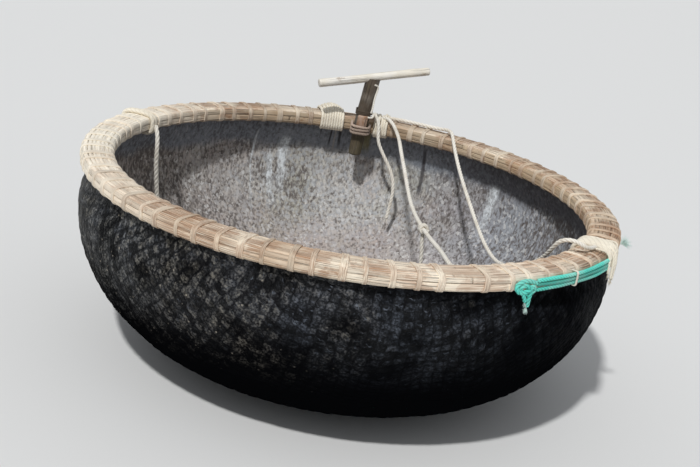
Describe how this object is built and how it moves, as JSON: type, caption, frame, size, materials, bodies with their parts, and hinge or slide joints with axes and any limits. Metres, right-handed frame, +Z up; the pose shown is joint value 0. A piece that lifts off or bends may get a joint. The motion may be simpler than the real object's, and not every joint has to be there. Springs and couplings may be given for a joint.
{
  "type": "coracle",
  "caption": "Round woven basket boat sealed with tar, with a lashed bamboo rim, an oar post with a crossbar, and white and green ropes on the rim.",
  "frame": {"origin": "middle of the flat foot that the boat stands on, at floor level", "axes": "+Z up, +Y towards the oar post on the rim, +X to the right when looking along +Y"},
  "size_m": [2.0001, 2.0078, 0.9979],
  "materials": {
    "tarred_weave": "woven bamboo strips coated with tar, worn to grey-brown on the ridges",
    "rim_bamboo": "split bamboo, weathered, dry",
    "cane_lashing": "split cane strips, weathered, dry",
    "dark_wood": "oiled hardwood, worn",
    "peeled_wood": "peeled branch, dry",
    "white_rope": "laid rope, sun-bleached",
    "green_line": "laid synthetic line, faded"
  },
  "bodies": {
    "root": {"basket_hull": "tarred_weave", "corner_lashing": "white_rope", "corner_rope": "white_rope", "crossbar": "peeled_wood", "crossbar_peg": "dark_wood", "crossing_rope": "white_rope", "green_knot": "green_line", "green_strand_1": "green_line", "green_strand_2": "green_line", "green_strand_3": "green_line", "green_tie": "white_rope", "hanging_rope": "white_rope", "inner_cap_splint": "rim_bamboo", "inner_hoop": "rim_bamboo", "middle_cap_splint": "rim_bamboo", "near_knot": "white_rope", "oar_post": "dark_wood", "outer_cap_splint": "rim_bamboo", "outer_hoop": "rim_bamboo", "post_hitch": "white_rope", "post_lashing": "white_rope", "post_wedge": "peeled_wood", "rim_lashings_1": "cane_lashing", "rim_lashings_2": "cane_lashing", "rim_lashings_3": "cane_lashing", "rim_lashings_4": "cane_lashing", "rim_wrap": "white_rope", "rope_hitch": "white_rope", "rope_knot": "white_rope", "rope_tail": "white_rope", "side_rope": "white_rope", "side_rope_hitch": "white_rope"}
  },
  "joints": []
}
